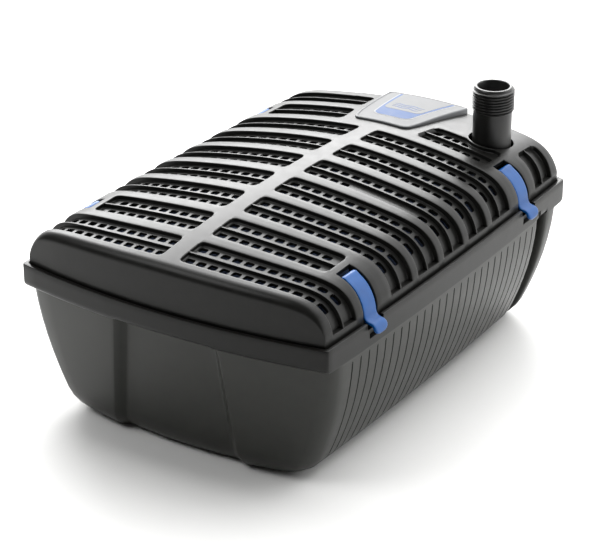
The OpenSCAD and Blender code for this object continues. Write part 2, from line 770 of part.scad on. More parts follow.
module gland_nut() color("#1b1b1b") {
    translate([gland_x, gland_seat_y - 12.05, gland_z]) rotate([90, 0, 0]) difference() {
        cylinder(r = 12.5, h = 5, $fn = 6);
        translate([0, 0, -1]) cylinder(r = gland_r - 0.05, h = 8);
    }
}

tub();
partition();
support_grid_front();
support_grid_rear();
foam_front();
foam_rear();
foam_fine();
bio_balls();
pump_housing();
pump_volute();
volute_screws();
volute_seal();
bearing_plate();
bearing_front();
bearing_rear();
rotor_shaft();
rotor_magnet();
impeller();
inlet_cage();
pump_cradle();
cradle_pads();
outlet_stub();
outlet_gasket();
union_nut();
uvc_housing();
quartz_sleeve();
uvc_lamp();
lamp_socket();
uvc_cap();
uvc_seal();
uvc_saddles();
cable_gland();
gland_nut();
gland_seal();
lid();
label_plate();
clip_pins();
clip_front_right();
clip_front_left();
clip_rear_right();
clip_rear_left();
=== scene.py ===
"""The looks of a submersible pond filter box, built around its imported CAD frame."""

import math

import bmesh
import bpy
import numpy as np
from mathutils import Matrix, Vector, noise


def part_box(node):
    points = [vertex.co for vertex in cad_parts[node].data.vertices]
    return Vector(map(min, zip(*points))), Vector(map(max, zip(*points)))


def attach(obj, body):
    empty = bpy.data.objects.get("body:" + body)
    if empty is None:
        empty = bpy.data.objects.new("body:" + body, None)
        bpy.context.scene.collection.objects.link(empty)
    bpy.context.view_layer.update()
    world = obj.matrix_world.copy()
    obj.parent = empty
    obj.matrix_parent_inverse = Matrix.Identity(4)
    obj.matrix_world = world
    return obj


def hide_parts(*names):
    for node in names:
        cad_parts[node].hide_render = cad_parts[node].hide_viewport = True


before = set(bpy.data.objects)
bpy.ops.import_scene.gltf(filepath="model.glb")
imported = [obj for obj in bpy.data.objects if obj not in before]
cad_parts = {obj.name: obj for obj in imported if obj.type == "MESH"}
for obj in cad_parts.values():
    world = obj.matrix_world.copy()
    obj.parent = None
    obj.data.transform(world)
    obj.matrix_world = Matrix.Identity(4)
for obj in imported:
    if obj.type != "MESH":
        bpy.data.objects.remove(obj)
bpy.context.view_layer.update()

# ---- Driving dimensions, in metres, in the frame's axes ----
MM = 0.001
TUB_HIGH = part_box("tub")[1]
SIDE_BOW = 3.4 * MM
FRONT_BOW = 13.4 * MM
REAR_BOW = 23 * MM
SHIFT_Y = (FRONT_BOW - REAR_BOW) / 2
HALF_W = TUB_HIGH.x - SIDE_BOW
HALF_L = TUB_HIGH.y - REAR_BOW - SHIFT_Y
RIM_Z = TUB_HIGH.z
WALL = 3 * MM

# The lid's arch
LID_GAP = 4.2 * MM
LID_FOOT_Z = RIM_Z - 5.7 * MM
LEDGE_Z = RIM_Z + 5.7 * MM
CREST_Y = -12 * MM
CREST_END = 119 * MM  # the crest falls faster behind this
CREST_TERMS = (46.31 * MM, -0.404 * MM, -10.706 * MM, 1.632 * MM)
CROWN_TERMS = (18.376 * MM, 1.6 * MM, -10.538 * MM)
CROWN_N = 1.632
SHOULDER_N, SHOULDER_M = 15.63, 1.388
EDGE_R = 6.5 * MM  # rounding along the lid's front and rear edges
# Grid columns stand at a fixed x up to FLAT_X, and follow the shoulder beyond, about SHOULDER_RUN wide
FLAT_X = 100 * MM
SHOULDER_RUN = 27.5 * MM
LAST_S = 124 * MM

# The intake bays
BAY_COUNT = 9
BAY_PITCH = 37 * MM
BAY_W = 28.2 * MM
BAY_DEPTH = 2.9 * MM
BAY_SIDE_DEPTH = 4 * MM
SPINE_HALF = 7.5 * MM
SHORT_BAYS = (2, 8)
REAR_START = {-1: 33 * MM, 1: 36 * MM}  # the last two bays start here, beside the label
CORNER_START = 107.9 * MM  # the last bay on the outlet's side
UNDER_SHIFT = 1.6 * MM  # the underside's step stands this far outside the bay's edge
UNDER_REACH = 1.1 * MM
SHORT_END = 99.5 * MM
BAY_CORNER = 4 * MM
RIB = (12.4 * MM, 14 * MM)  # measured from a bay's near edge, like the rows of holes
BAY_HALF = (RIB[0] + RIB[1]) / 2
ROW_AT = (6.5 * MM, 22.3 * MM)
FLOOR_T = 2 * MM
RIB_DROP = 0.14  # the rib's top is this share of a bay's depth below the surface
HOLE_X0, HOLE_PITCH, HOLE_COLUMNS = 12.6 * MM, 9.35 * MM, 12
HOLE_HALF = (3.4 * MM, 2.9 * MM)
HOLE_CHAMFER = 1 * MM
# The grid lines of a hole, as multiples of its half size and of its chamfer
HOLE_LINES = ((-1, 0), (-1, 1), (0, 0), (1, -1), (1, 0))

# The clips
CLIP_YS = {"front": -121.5 * MM, "rear": 106.5 * MM}
STRAP_W = 16 * MM
CHANNEL_W = 17.6 * MM
CHANNEL_IN = 3.1 * MM
WINDOW_S = (104.4 * MM, 112.6 * MM)
PIN_X = 110.6 * MM

# The outlet and the label
STUB_LOW, STUB_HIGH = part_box("outlet_stub")
OUTLET = ((STUB_LOW.x + STUB_HIGH.x) / 2, (STUB_LOW.y + STUB_HIGH.y) / 2)
OUTLET_HOLE = (OUTLET[0] - 0.6 * MM, OUTLET[1] + 0.5 * MM)
OUTLET_HOLE_R = 17.8 * MM
BOSS_R = 19.2 * MM
END_SIDE_IN = 0.4 * MM  # how far the end faces stand in from the lid's sides
LABEL_Y0 = 104.5 * MM
LABEL_SLOPE = 0.14


def crest(y):
    t = (y - CREST_Y) / HALF_L
    return sum(c * t**k for k, c in enumerate(CREST_TERMS)) - 0.6 * max(y - CREST_END, 0) ** 2


def crown(y, u):
    t = (y - CREST_Y) / HALF_L
    return sum(c * t**k for k, c in enumerate(CROWN_TERMS)) * abs(u) ** CROWN_N


def lid_a(y):
    return HALF_W - LID_GAP + SIDE_BOW * (1 - ((y - SHIFT_Y) / HALF_L) ** 2)


def shoulder(u):
    return max(1 - abs(u) ** SHOULDER_N, 0) ** (1 / SHOULDER_M)


def rim_half(y):
    return HALF_W + SIDE_BOW * (1 - ((y - SHIFT_Y) / HALF_L) ** 2)


def smooth(t):
    t = min(max(t, 0), 1)
    return t * t * (3 - 2 * t)


def arch_point(s, y, side=0.0, top=0.0):
    """x and z on the lid's arch pulled in by side and top, at the grid column s."""
    a = lid_a(y) - side
    knee = FLAT_X / a
    u = s / a if s <= FLAT_X else knee + (s - FLAT_X) / (LAST_S - FLAT_X) * (1 - knee)
    return a * u, LEDGE_Z + (crest(y) - crown(y, u) - (LEDGE_Z - RIM_Z) - top) * shoulder(u)


# ---- Mesh helpers ----
def mesh_object(name, points, faces, weld=0.0, sharp=35):
    mesh = bpy.data.meshes.new(name)
    mesh.from_pydata([tuple(p) for p in points], [], faces)
    made = bpy.data.objects.new(name, mesh)
    bpy.context.scene.collection.objects.link(made)
    bm = bmesh.new()
    bm.from_mesh(mesh)
    if weld:
        bmesh.ops.remove_doubles(bm, verts=bm.verts, dist=weld)
    bmesh.ops.delete(bm, geom=[v for v in bm.verts if not v.link_faces], context="VERTS")
    bmesh.ops.recalc_face_normals(bm, faces=bm.faces)
    bm.to_mesh(mesh)
    bm.free()
    mesh.shade_smooth()
    mesh.set_sharp_from_angle(angle=math.radians(sharp))
    return made


def grid_shell(outer, inner, inside, closed=False):
    """A closed solid between two grids of points, open where inside is True at a cell's corners.

    A cell with one corner outside a hole keeps the triangle at that corner, which chamfers the hole.
    """
    rows, columns = inside.shape
    ids, points_out, points_in = {}, [], []
    index = np.zeros((rows, columns), int)
    for r in range(rows):
        for c in range(columns):
            key = tuple(round(v / (0.01 * MM)) for v in outer[r, c])
            if key not in ids:
                ids[key] = len(points_out)
                points_out.append(outer[r, c])
                points_in.append(inner[r, c])
            index[r, c] = ids[key]
    polygons = []
    for r in range(rows - 1):
        for c in range(columns if closed else columns - 1):
            d = (c + 1) % columns
            corners = [(r, c), (r, d), (r + 1, d), (r + 1, c)]
            out = [k for k in range(4) if not inside[corners[k]]]
            if not out:
                continue
            if len(out) == 1:
                k = out[0]
                corners = [corners[k - 1], corners[k], corners[(k + 1) % 4]]
            polygon = []
            for corner in corners:
                if index[corner] not in polygon:
                    polygon.append(int(index[corner]))
            if len(polygon) > 2:
                polygons.append(polygon)
    edges = {(p[k - 1], p[k]) for p in polygons for k in range(len(p))}
    rim = [(a, b) for a, b in edges if (b, a) not in edges]
    n = len(points_out)
    faces = polygons + [[v + n for v in reversed(p)] for p in polygons]
    faces += [[b, a, a + n, b + n] for a, b in sorted(rim)]
    return points_out + points_in, faces


# ---- Lid ----
# Each step from a surface into a bay: distance past the edge and share of the depth.
EDGE_STEP = [(-0.9 * MM, 0.0), (-0.45 * MM, 0.03), (-0.1 * MM, 0.12),
             (0.1 * MM, 0.88), (0.5 * MM, 0.97), (1 * MM, 1.0)]
RIB_STEP = [(-0.9 * MM, 1.0), (-0.12 * MM, 0.93), (0.0, 0.34), (0.25 * MM, RIB_DROP)]
# Below the shoulder: share of the ledge's outer rounding, and height below the ledge.
WALL_STEPS = [(0.5 * MM, 0.0), (0.15 * MM, 0.15 * MM), (0.0, 0.5 * MM), (0.0, 5.2 * MM),
              (0.0, LEDGE_Z - LID_FOOT_Z)]
WALL_UNDER = 3  # from this step down the inside is a plain wall



def edge_depth(distance):
    return float(np.interp(distance, [p[0] for p in EDGE_STEP], [p[1] for p in EDGE_STEP]))


def bay_far(i, x):
    bow = (10.1 - 2.06 * (i - 1) - 0.126 * (i - 1) ** 2) * MM
    return -139.8 * MM + BAY_PITCH * (i - 1) - bow * (1 - (x / (126 * MM)) ** 2)


def bay_range(i, side):
    """Where a bay starts and ends across the lid on one side."""
    start = REAR_START[side] if i >= BAY_COUNT - 1 else SPINE_HALF
    if side > 0 and i == BAY_COUNT:
        start = CORNER_START
    return start, SHORT_END if i in SHORT_BAYS else 1.0


def bay_cuts(i, side, x):
    """How much a bay is narrowed from its near and far edge: round corners and the outlet's boss."""
    start, end = bay_range(i, side)
    into = max(min(x - start, end - x), 0)
    corner = BAY_CORNER - math.sqrt(max(BAY_CORNER**2 - max(BAY_CORNER - into, 0) ** 2, 0))
    far = corner
    if side > 0 and i == SHORT_BAYS[1] and abs(x - OUTLET_HOLE[0]) < BOSS_R:
        reach = math.sqrt(BOSS_R**2 - (x - OUTLET_HOLE[0]) ** 2)
        far = max(corner, bay_far(i, x) - (OUTLET_HOLE[1] - reach))
    return corner, far


def bay_y(i, side, x, offset):
    """y of a line that lies offset from a bay's near edge."""
    near_cut, far_cut = bay_cuts(i, side, x)
    inner = 1 * MM
    known = [-inner, inner, BAY_HALF, BAY_W - inner, BAY_W + inner]
    moved = [near_cut - inner, near_cut + inner, BAY_HALF, BAY_W - far_cut - inner, BAY_W - far_cut + inner]
    y = bay_far(i, x) - BAY_W + float(np.interp(offset, known, moved))
    if i in SHORT_BAYS and x > SHORT_END:
        centre = CLIP_YS["front" if i == SHORT_BAYS[0] else "rear"]
        moved = [-inner, inner, CHANNEL_W / 2, CHANNEL_W - inner, CHANNEL_W + inner]
        channel = centre - CHANNEL_W / 2 + float(np.interp(offset, known, moved))
        y += (channel - y) * smooth((x - SHORT_END) / (5 * MM))
    return y


def bay_rows():
    """Offset from the near edge, depth of the surface and of the underside, and the underside's shift."""
    near = [(o, d, d, -1) for o, d in EDGE_STEP]
    far = [(BAY_W - o, d, d, 1) for o, d in reversed(EDGE_STEP)]
    rib = [(RIB[0] + o, d, 1, 0) for o, d in RIB_STEP] + [(RIB[1] - o, d, 1, 0) for o, d in reversed(RIB_STEP)]
    holes = [[(middle + k * HOLE_HALF[1] + j * HOLE_CHAMFER, 1, 1, 0) for k, j in HOLE_LINES] for middle in ROW_AT]
    return near + holes[0] + rib + holes[1] + far


def lid_columns():
    """Columns of the lid's grid from the middle to the foot of the shoulder."""
    at = [0, 3.5 * MM, 6.5 * MM, 99 * MM, 120.3 * MM, 121.4 * MM, 122.3 * MM]
    at += [123 * MM, 123.5 * MM, 123.8 * MM, 123.95 * MM, LAST_S]
    for start in (SPINE_HALF, REAR_START[-1], CORNER_START):
        at += [start + o for o, _ in EDGE_STEP]
    at += [SHORT_END - o for o, _ in EDGE_STEP]
    at += [WINDOW_S[0] - 1 * MM, *WINDOW_S, WINDOW_S[1] + 0.5 * MM]
    for k in range(HOLE_COLUMNS):
        middle = HOLE_X0 + HOLE_PITCH * k
        at += [middle + j * HOLE_HALF[0] + h * HOLE_CHAMFER for j, h in HOLE_LINES]
        at.append(middle + HOLE_PITCH / 2)
    made = []
    for s in sorted(at):
        if s <= LAST_S and (not made or s - made[-1] > 0.04 * MM):
            made.append(s)
    return made


def has_hole(i, row, k, side):
    x = HOLE_X0 + HOLE_PITCH * k
    start, end = bay_range(i, side)
    if x - HOLE_HALF[0] < start or x + HOLE_HALF[0] > end or (side > 0 and i == BAY_COUNT):
        return False
    if side > 0 and i == 5 and row == 0 and 47 * MM < x < 104 * MM:
        return False
    if side > 0 and i == 8 and row == 1 and bay_cuts(i, side, x)[1] > 2.5 * MM:
        return False
    return i < 8 or x > start + HOLE_HALF[0]


def in_hole(i, offset, side, s):
    """True where a grid point of a bay's floor lies in or on an intake hole or a clip's window."""
    slack = 0.001 * MM
    if i in SHORT_BAYS and WINDOW_S[0] - slack < s < WINDOW_S[1] + slack:
        return 0 < offset < BAY_W
    k = round((s - HOLE_X0) / HOLE_PITCH)
    row = 0 if offset < BAY_HALF else 1
    if not 0 <= k < HOLE_COLUMNS or not has_hole(i, row, k, side):
        return False
    dx = abs(s - HOLE_X0 - HOLE_PITCH * k)
    dy = abs(offset - ROW_AT[row])
    corner = dx - HOLE_HALF[0] + dy - HOLE_HALF[1] + HOLE_CHAMFER
    return dx < HOLE_HALF[0] + slack and dy < HOLE_HALF[1] + slack and corner < slack


def end_y(x, sign):
    bow = REAR_BOW if sign > 0 else FRONT_BOW
    return SHIFT_Y + sign * (HALF_L - LID_GAP + bow * (1 - (x / HALF_W) ** 2))


def lid_rows():
    """The rows of the lid's grid from front to rear."""
    arc = [math.radians(a) for a in (0, 12, 24, 36, 48, 60, 70, 80, 90)]
    round_rows = [(EDGE_R * (1 - math.sin(t)), 1 - math.cos(t)) for t in reversed(arc)]
    down = range(len(WALL_STEPS))
    rows = [("wall", -1, k) for k in reversed(down)]
    rows += [("round", -1, o, d) for o, d in round_rows]
    rows += [("land", 0, f) for f in (0.25, 0.5, 0.75)]
    for i in range(1, BAY_COUNT + 1):
        rows += [("bay", i, *r) for r in bay_rows()]
        rows += [("land", i, f) for f in ((0.33, 0.67) if i < BAY_COUNT else (0.2, 0.4, 0.6, 0.8))]
    rows += [("round", 1, o, d) for o, d in reversed(round_rows)]
    rows += [("wall", 1, k) for k in down]
    return rows


def lid_row_y(row, side, x):
    if row[0] == "bay":
        return bay_y(row[1], side, x, row[2])
    if row[0] == "land":
        i, f = row[1:]
        low = bay_y(i, side, x, BAY_W + EDGE_STEP[0][0] * -1) if i else end_y(x, -1) + EDGE_R
        high = bay_y(i + 1, side, x, EDGE_STEP[0][0]) if i < BAY_COUNT else end_y(x, 1) - EDGE_R
        return low + (high - low) * f
    return end_y(x, row[1]) - row[1] * (row[2] if row[0] == "round" else 0)


def lid_vertex(row, side, s, step):
    """The lid's outer and inner point on a row at a column, or at a wall step below the last column."""
    x = s if s <= FLAT_X else FLAT_X + (s - FLAT_X) / (LAST_S - FLAT_X) * SHOULDER_RUN
    y = lid_row_y(row, side, x)
    pocket = under = channel = ending = 0.0
    shift_y = shift_x = 0.0
    if row[0] == "bay":
        i, offset, depth, inner_depth, shift = row[1:]
        start, end = bay_range(i, side)
        across = min(edge_depth(x - start), edge_depth(end - x))
        pocket, under = depth * across, inner_depth * across
        shift_y = shift * UNDER_SHIFT if across > 0 else 0
        if abs(x - start) < UNDER_REACH:
            shift_x = -UNDER_SHIFT
        if i in SHORT_BAYS and s > WINDOW_S[0] + 1 * MM:
            channel = CHANNEL_IN * edge_depth(min(offset, BAY_W - offset))
    elif row[0] in ("round", "wall"):
        ending = 1.0 if row[0] == "wall" else row[3]
    fade = smooth((s - 14 * MM) / (16 * MM)) * smooth((62 * MM - s) / (14 * MM))
    slant = LABEL_SLOPE * max(y - LABEL_Y0, 0) * fade
    keep = END_SIDE_IN * ending + channel
    side_in = BAY_SIDE_DEPTH * pocket + keep
    top_in = BAY_DEPTH * pocket + EDGE_R * ending + channel
    px, pz = arch_point(s + slant, y, side_in, top_in)
    deep = FLOOR_T + (1 - under) * (WALL - FLOOR_T)
    qx, qz = arch_point(max(s + slant + shift_x, 0), y + shift_y, BAY_SIDE_DEPTH * under + keep + deep,
                        BAY_DEPTH * under + EDGE_R * ending + channel + deep)
    qy = y + shift_y
    if step is not None:
        rounding, down = WALL_STEPS[step]
        px = lid_a(y) - keep - min(BAY_SIDE_DEPTH * pocket, rounding)
        pz = LEDGE_Z - down
        qx = lid_a(y) - keep - (WALL if step >= WALL_UNDER else BAY_SIDE_DEPTH * under + deep)
        qz = pz - (FLOOR_T * under if step < WALL_UNDER else 0)
    if row[0] == "wall":
        share = (LEDGE_Z - WALL_STEPS[row[2]][1] - LID_FOOT_Z) / (LEDGE_Z - LID_FOOT_Z)
        pz = LID_FOOT_Z + (pz - LID_FOOT_Z) * share
        qz = LID_FOOT_Z + (qz - LID_FOOT_Z) * share
        qy = y - row[1] * WALL
    return (side * px, y, pz), (side * qx, qy, qz)


def make_lid():
    rows, columns = lid_rows(), lid_columns()
    steps = range(len(WALL_STEPS))
    half = [(s, None) for s in columns] + [(LAST_S, k) for k in steps]
    whole = [(-1, s, k) for s, k in reversed(half[1:])] + [(1, s, k) for s, k in half]
    outer = np.zeros((len(rows), len(whole), 3))
    inner = np.zeros_like(outer)
    inside = np.zeros((len(rows), len(whole)), bool)
    for r, row in enumerate(rows):
        for c, (side, s, step) in enumerate(whole):
            if row[0] == "wall" and step is not None:
                inside[r, c] = True
                continue
            outer[r, c], inner[r, c] = lid_vertex(row, side, s, step)
            if row[0] == "bay" and step is None:
                inside[r, c] = in_hole(row[1], row[2], side, s)
    points, faces = grid_shell(outer, inner, inside)
    lid = mesh_object("lid_cover", points, faces)
    cut_outlet_hole(lid)
    return lid


def cut_outlet_hole(lid):
    bpy.ops.mesh.primitive_cylinder_add(vertices=96, radius=OUTLET_HOLE_R, depth=0.12,
                                        location=(*OUTLET_HOLE, RIM_Z + 0.04))
    cutter = bpy.context.object
    boolean = lid.modifiers.new("outlet_hole", "BOOLEAN")
    boolean.object = cutter
    boolean.solver = "EXACT"
    apply_modifiers(lid)
    bpy.data.objects.remove(cutter)


# ---- Tub ----
BAND_Z = RIM_Z - 17.9 * MM
BOTTOM_R = 18 * MM
POD_CORNER_R = 12 * MM
SHELF_Z = RIM_Z - 6 * MM
RIM_LIP = 3.2 * MM
GROOVES = [(-150 + 10.65 * i) * MM for i in range(26)]
GROOVE_TOP = 97.5 * MM
GROOVE_DEPTH = 1.2 * MM
RIBBED_FROM, RIBBED_TO = -152 * MM, 141.5 * MM
STRAIGHT = 120 * MM  # side columns keep their y up to here, and draw in towards the corners beyond
RIM_CORNER_R, INNER_CORNER_R = 2 * MM, 9 * MM
# The end recess's inner and outer edge at the band, then at the ground
RECESS_HALF = ((37 * MM, 45 * MM), (48 * MM, 56 * MM))
RECESS_DEPTH = (8 * MM, 5 * MM)
NOTCH_HALF = 10 * MM
NOTCH_Z = RIM_Z - 4.6 * MM
# The rear stretch of the band stands proud, and its front end comes forward in three steps.
TONGUE = [(RIM_Z - 7 * MM, 109 * MM), (RIM_Z - 11 * MM, 120 * MM), (99 * MM, 128 * MM)]
TONGUE_OUT = 0.9 * MM
POCKET_Y, POCKET_Z, POCKET_DEPTH = (-7.5 * MM, 10.8 * MM), (106 * MM, 113 * MM), 3 * MM


def wall_inset(z):
    """How far the tub's wall stands inside the rim at a height, on the sides and on the ends."""
    below = max(1 - z / BAND_Z, 0)
    low = BOTTOM_R - math.sqrt(max(BOTTOM_R**2 - max(BOTTOM_R - z, 0) ** 2, 0))
    return 29 * MM * below**1.8 + low, (6 + 9 * below) * MM + 0.7 * low


def tub_profile():
    """Rows up the outside, over the rim and down the inside: side inset, end inset, z, feature share, kind."""
    rows = []
    for z in (0, 0.6, 2.2, 4.8, 8.5, 13, 18, 26, 36, 48, 60, 72, 84, 92, 96, 97.5, 98.3, 100):
        rows.append((*wall_inset(z * MM), z * MM, 1.0, "wall"))
    for share, up in ((0.5, 0.2), (0.78, 0.9), (0.94, 2.2), (1.0, 4)):
        rows.append((0, (1 - share) * 6 * MM, BAND_Z + up * MM, 1 - share, "band"))
    for z in (105.9, 106, 107, 107.1, 111, 111.1, 113, 113.1, 117.3):
        rows.append((0, 0, z * MM, 0.0, "band"))
    rows += [(0.2 * MM, 0.2 * MM, RIM_Z - 0.2 * MM, 0.0, "rim"), (0.8 * MM, 0.8 * MM, RIM_Z, 0.0, "rim"),
             (2.6 * MM, 2.6 * MM, RIM_Z, 0.0, "rim"), (RIM_LIP, RIM_LIP, RIM_Z - 0.6 * MM, 0.0, "rim"),
             (RIM_LIP, RIM_LIP, SHELF_Z, 0.0, "in"), (12 * MM, 15 * MM, SHELF_Z, 0.0, "in"),
             (12 * MM, 15 * MM, SHELF_Z - 4 * MM, 0.0, "in")]
    for z in (107, 100, 90, 72, 48, 26, 18, 10, 6, 3):
        side, end = wall_inset(max(z - 3, 0) * MM)
        rows.append((side + WALL, end + WALL, z * MM, 1.0, "in"))
    return rows


def side_stations():
    at = [-162 * MM, -157 * MM, 108.7 * MM, 109.3 * MM, 119.7 * MM, 120.3 * MM, 127.7 * MM, 128.3 * MM]
    for y in GROOVES:
        at += [y + d * MM for d in (-1.3, -0.75, -0.4, 0.4, 0.75, 1.3)]
    at += [121.5 * MM, 123.5 * MM, 125.5 * MM, 129.2 * MM, 129.9 * MM, 130.3 * MM]
    at += [139.7 * MM, 140.2 * MM, 141 * MM, 142.5 * MM, 150 * MM, 156 * MM]
    for y in CLIP_YS.values():
        for edge in (y - NOTCH_HALF, y + NOTCH_HALF):
            at += [edge - 0.3 * MM, edge + 0.3 * MM]
        at += [y + e + d for e in POCKET_Y for d in (-0.2 * MM, 0.2 * MM)]
    made = []
    for y in sorted(at):
        if not made or y - made[-1] > 0.05 * MM:
            made.append(y)
    return made


def channel_depth(y):
    """The side's rounded end, its dark channel and the rear pod's edge."""
    return float(np.interp(y / MM, [122, 124, 126, 127.5, 129, 129.8, 130.2, 139.8, 140.1, 141, 142.5],
                           [0, 0.25, 1.1, 2.4, 5, 8.5, 12, 12, 2.2, 0.6, 0])) * MM


def groove_depth(y, z):
    near = min(abs(y - g) for g in GROOVES)
    top = 1 - smooth((z - GROOVE_TOP + 1.4 * MM) / (1.4 * MM))
    return GROOVE_DEPTH * float(np.interp(near / MM, [0.4, 0.75], [1, 0])) * top * smooth(z / (4 * MM))


def end_station(f, share, down):
    """x of an end column: the recess's edges lean outward towards the ground."""
    inner = RECESS_HALF[0][0] + (RECESS_HALF[1][0] - RECESS_HALF[0][0]) * down
    outer = RECESS_HALF[0][1] + (RECESS_HALF[1][1] - RECESS_HALF[0][1]) * down
    if f <= 1:
        return inner * f
    return inner + (outer - inner) * (f - 1) if f <= 2 else outer + (share - outer) * (f - 2)


def recess_depth(f, down):
    depth = RECESS_DEPTH[0] + (RECESS_DEPTH[1] - RECESS_DEPTH[0]) * down
    return depth * float(np.interp(abs(f), [0.95, 1.05, 1.9, 2.04], [1, 0.93, 0.04, 0]))


def tub_stations():
    """The loop of columns around the tub: (kind, sign x, sign y, value)."""
    sides = side_stations()
    arcs = [k / 8 for k in range(1, 8)]
    ends = [0, 0.35, 0.7, 0.95, 1.0, 1.05, 1.4, 1.9, 1.97, 2.04, 2.3, 2.6, 2.85]
    front = [("end", 1, -1, f) for f in ends]
    loop = front + [("arc", 1, -1, a) for a in arcs] + [("side", 1, 0, y) for y in sides]
    loop += [("arc", 1, 1, 1 - a) for a in arcs] + [("end", 1, 1, f) for f in reversed(ends)]
    loop += [("end", -1, 1, f) for f in ends[1:]] + [("arc", -1, 1, a) for a in arcs]
    loop += [("side", -1, 0, y) for y in reversed(sides)]
    loop += [("arc", -1, -1, 1 - a) for a in arcs] + [("end", -1, -1, f) for f in reversed(ends[1:])]
    return loop


def tub_point(station, row):
    kind, sx, sy, value = station
    side, end, z, share, where = row
    w, l = HALF_W - side, HALF_L - end
    r = {"wall": POD_CORNER_R, "in": INNER_CORNER_R}.get(where, RIM_CORNER_R)
    down = max(1 - z / BAND_Z, 0)
    if kind == "side":
        reach = l - r
        ends = (RIBBED_FROM - SHIFT_Y - 12 * MM, RIBBED_FROM - SHIFT_Y, -STRAIGHT,
                STRAIGHT, RIBBED_TO - SHIFT_Y, RIBBED_TO - SHIFT_Y + 16 * MM)
        kept = (-reach, max(ends[1], -STRAIGHT - 0.75 * (reach - STRAIGHT)), -STRAIGHT,
                STRAIGHT, min(ends[4], STRAIGHT + 0.85 * (reach - STRAIGHT)), reach)
        y = float(np.interp(value - SHIFT_Y, ends, kept))
        x = w + SIDE_BOW * (1 - (y / l) ** 2)
        at = y + SHIFT_Y
        x -= share * channel_depth(value)
        if where == "wall":
            x -= groove_depth(value, z)
        notched = any(abs(at - c) < NOTCH_HALF for c in CLIP_YS.values())
        if where in ("band", "rim", "in") and notched and z > NOTCH_Z:
            z = NOTCH_Z - (0.4 * MM if where == "in" else 0)
        if where == "band" and any(z > bottom and at > start for bottom, start in TONGUE):
            x += TONGUE_OUT
        elif where == "rim" and at > TONGUE[0][1]:
            x += TONGUE_OUT * (1 - side / RIM_LIP)
        pocket = POCKET_Z[0] < z < POCKET_Z[1]
        if where == "band" and pocket and any(POCKET_Y[0] < at - c < POCKET_Y[1] for c in CLIP_YS.values()):
            x -= POCKET_DEPTH
        return sx * x, at, z
    bow = FRONT_BOW if sy < 0 else REAR_BOW
    if kind == "arc":
        a = math.radians(90 * value)
        x, y = w - r + r * math.sin(a), l - r + r * math.cos(a)
        if where in ("band", "rim") and sy > 0:
            x += TONGUE_OUT * math.sin(a) * (1 - side / RIM_LIP)
    else:
        x, y = end_station(value, w - r, down), l - share * recess_depth(value, down)
    y += bow * (1 - (x / w) ** 2)
    x += SIDE_BOW * (1 - (min(y, l) / l) ** 2)
    return sx * x, SHIFT_Y + sy * y, z


def make_tub():
    stations, rows = tub_stations(), tub_profile()
    n = len(stations)
    points = [tub_point(s, r) for r in rows for s in stations]
    faces = [[r * n + c, r * n + (c + 1) % n, (r + 1) * n + (c + 1) % n, (r + 1) * n + c]
             for r in range(len(rows) - 1) for c in range(n)]
    faces += [list(range(n)), list(range((len(rows) - 1) * n, len(rows) * n))]
    return mesh_object("tub_shell", points, faces, weld=0.005 * MM, sharp=38)


# ---- Clips ----
STRAP_T = 2.3 * MM
PIN_DROP = 3.5 * MM  # the hinge pin lies this far below the lid's surface
EYE_R = 2.1 * MM


def clip_path(y):
    """Centreline of a clip as x, z, half width and thickness: hinge eye, strap, neck, tongue."""
    u = PIN_X / lid_a(y)
    z0 = LEDGE_Z + (crest(y) - crown(y, u) - (LEDGE_Z - RIM_Z)) * shoulder(u) - PIN_DROP
    turns = [math.radians(b) for b in range(215, -31, -15)]
    path = [(PIN_X - EYE_R * math.sin(b), z0 + EYE_R * math.cos(b), STRAP_W / 2, STRAP_T) for b in turns]
    inset = STRAP_T / 2 + 0.25 * MM
    a = lid_a(y) - inset
    for u in [0.895, 0.912, 0.93, 0.946, 0.96, 0.973, 0.984, 0.992, 0.998]:
        z = LEDGE_Z + (crest(y) - crown(y, u) - (LEDGE_Z - RIM_Z) - inset) * shoulder(u)
        path.append((a * u, z, STRAP_W / 2, STRAP_T))
    rim = rim_half(y)
    down = [(-5.4, 4.4, 8.0, 2.3), (-4.9, 2.2, 7.9, 2.3), (-3.9, 0.2, 7.6, 2.4), (-2.0, -0.9, 7.2, 2.5),
            (0.4, -1.3, 6.8, 2.5), (1.9, -1.8, 7.2, 2.6), (2.9, -2.8, 7.7, 2.8), (3.7, -4.1, 7.9, 2.8),
            (4.3, -5.5, 7.6, 2.6), (4.7, -6.7, 6.8, 2.2), (4.95, -7.6, 5.4, 1.7), (5.05, -8.2, 3.4, 1.0)]
    path += [(rim + dx * MM, RIM_Z + dz * MM, hw * MM, t * MM) for dx, dz, hw, t in down]
    return path


def make_clip(name, side, y):
    path = clip_path(y)
    arc = 24
    points, faces = [], []
    for k, (x, z, half, thick) in enumerate(path):
        before, after = path[max(k - 1, 0)], path[min(k + 1, len(path) - 1)]
        dx, dz = after[0] - before[0], after[1] - before[1]
        size = math.hypot(dx, dz)
        nx, nz = dz / size, -dx / size
        for j in range(arc):
            t = 2 * math.pi * j / arc
            c, s = math.cos(t), math.sin(t)
            across = half * math.copysign(abs(c) ** 0.22, c)
            up = thick / 2 * math.copysign(abs(s) ** 0.55, s)
            points.append((side * (x + nx * up), y + across, z + nz * up))
    for k in range(len(path) - 1):
        for j in range(arc):
            faces.append([k * arc + j, k * arc + (j + 1) % arc, (k + 1) * arc + (j + 1) % arc, (k + 1) * arc + j])
    faces += [list(range(arc)), list(range((len(path) - 1) * arc, len(path) * arc))]
    clip = mesh_object(name, points, faces, sharp=50)
    subdivide(clip, 1)
    return clip


def subdivide(piece, levels):
    smooth_mod = piece.modifiers.new("subdivision", "SUBSURF")
    smooth_mod.levels = smooth_mod.render_levels = levels
    apply_modifiers(piece)


